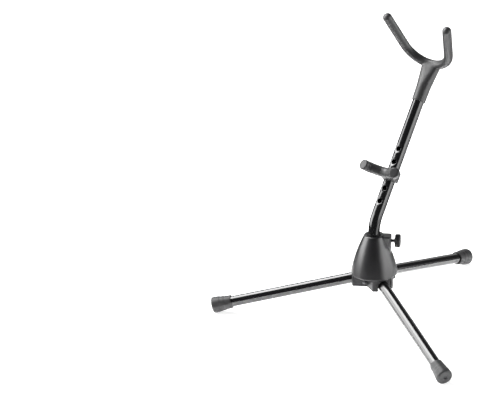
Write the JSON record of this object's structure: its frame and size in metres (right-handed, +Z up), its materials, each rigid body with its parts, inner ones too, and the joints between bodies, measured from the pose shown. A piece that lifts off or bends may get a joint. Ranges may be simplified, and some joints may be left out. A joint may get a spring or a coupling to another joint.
{
  "type": "folding saxophone stand",
  "caption": "Folding tripod floor stand for a saxophone, with a domed hub, clamp knob, leaning mast, rubber-coated yoke for the bell and a pegged cradle for the body.",
  "frame": {"origin": "on the hub axis at floor level, midway between the three feet", "axes": "+Z up; +Y towards the rear leg, the way the mast leans back; -Y the side the instrument stands on; +X the side the clamp knob is nearer to"},
  "size_m": [0.481, 0.4193, 0.4859],
  "materials": {
    "dome_plastic": "satin dark grey",
    "black_plastic": "matt black",
    "knob_plastic": "satin black",
    "black_tube": "high gloss black",
    "grey_rubber": "smooth soft grey",
    "tip_rubber": "ribbed soft grey",
    "foot_rubber": "fine-grained grey",
    "zinc_steel": "zinc plated",
    "bare_steel": "plain",
    "brass": "machined",
    "nylon": "natural nylon"
  },
  "bodies": {
    "base": {"hub_cover": "dome_plastic", "leg_spider": "black_plastic", "mast_socket": "black_plastic", "socket_floor": "black_plastic", "mast_bush": "black_plastic", "clamp_insert": "brass", "hub_screw_a": "zinc_steel", "hub_screw_b": "zinc_steel", "hub_screw_c": "zinc_steel", "rear_leg_pin": "zinc_steel", "left_leg_pin": "zinc_steel", "right_leg_pin": "zinc_steel"},
    "rear_leg": {"rear_leg_tube": "black_tube", "rear_leg_knuckle": "black_plastic", "rear_leg_foot": "foot_rubber"},
    "left_leg": {"left_leg_tube": "black_tube", "left_leg_knuckle": "black_plastic", "left_leg_foot": "foot_rubber"},
    "right_leg": {"right_leg_tube": "black_tube", "right_leg_knuckle": "black_plastic", "right_leg_foot": "foot_rubber"},
    "clamp_shoe": {"clamp_pad": "nylon"},
    "clamp_handle": {"clamp_screw": "zinc_steel", "clamp_knob": "knob_plastic"},
    "mast_ring": {"mast_glide": "nylon"},
    "mast": {"mast_plug": "black_plastic", "mast_tube": "black_tube", "yoke_post": "bare_steel", "yoke_pin": "bare_steel", "yoke_core": "bare_steel", "yoke_cover": "grey_rubber"},
    "cradle": {"cradle_saddle": "grey_rubber", "cradle_peg": "bare_steel", "cradle_core": "bare_steel", "cradle_sleeve_left": "grey_rubber", "cradle_sleeve_right": "grey_rubber", "cradle_tip_left": "tip_rubber", "cradle_tip_right": "tip_rubber"}
  },
  "joints": [
    {"name": "rear_leg_fold", "type": "hinge", "parent": "base", "child": "rear_leg", "pos_m": [0, 0.02614, 0.07503], "axis": [-1, 0, 0], "range_deg": [0, 75]},
    {"name": "left_leg_fold", "type": "hinge", "parent": "base", "child": "left_leg", "pos_m": [-0.02263, -0.01307, 0.07503], "axis": [0.5, -0.866, 0], "range_deg": [0, 75]},
    {"name": "right_leg_fold", "type": "hinge", "parent": "base", "child": "right_leg", "pos_m": [0.02263, -0.01307, 0.07503], "axis": [0.5, 0.866, 0], "range_deg": [0, 75]},
    {"name": "clamp_travel", "type": "slide", "parent": "base", "child": "clamp_shoe", "axis": [0.866, 0.5, 0], "range_m": [0, 0.0016]},
    {"name": "knob_turn", "type": "hinge", "parent": "clamp_shoe", "child": "clamp_handle", "pos_m": [0.02598, 0.015, 0.141], "axis": [0.866, 0.5, 0], "range_deg": [0, 720]},
    {"name": "mast_height", "type": "slide", "parent": "base", "child": "mast_ring", "axis": [0, 0, 1], "range_m": [0, 0.045]},
    {"name": "mast_swivel", "type": "hinge", "parent": "mast_ring", "child": "mast", "pos_m": [0, 0, 0.08], "axis": [0, 0, 1], "range_deg": [-180, 180]},
    {"name": "cradle_lift_off", "type": "slide", "parent": "mast", "child": "cradle", "axis": [0, -0.809, 0.5878], "range_m": [0, 0.045]}
  ],
  "couplings": [
    {"joint": "clamp_travel", "follows": "knob_turn", "m_per_rad": 0.000127}
  ]
}
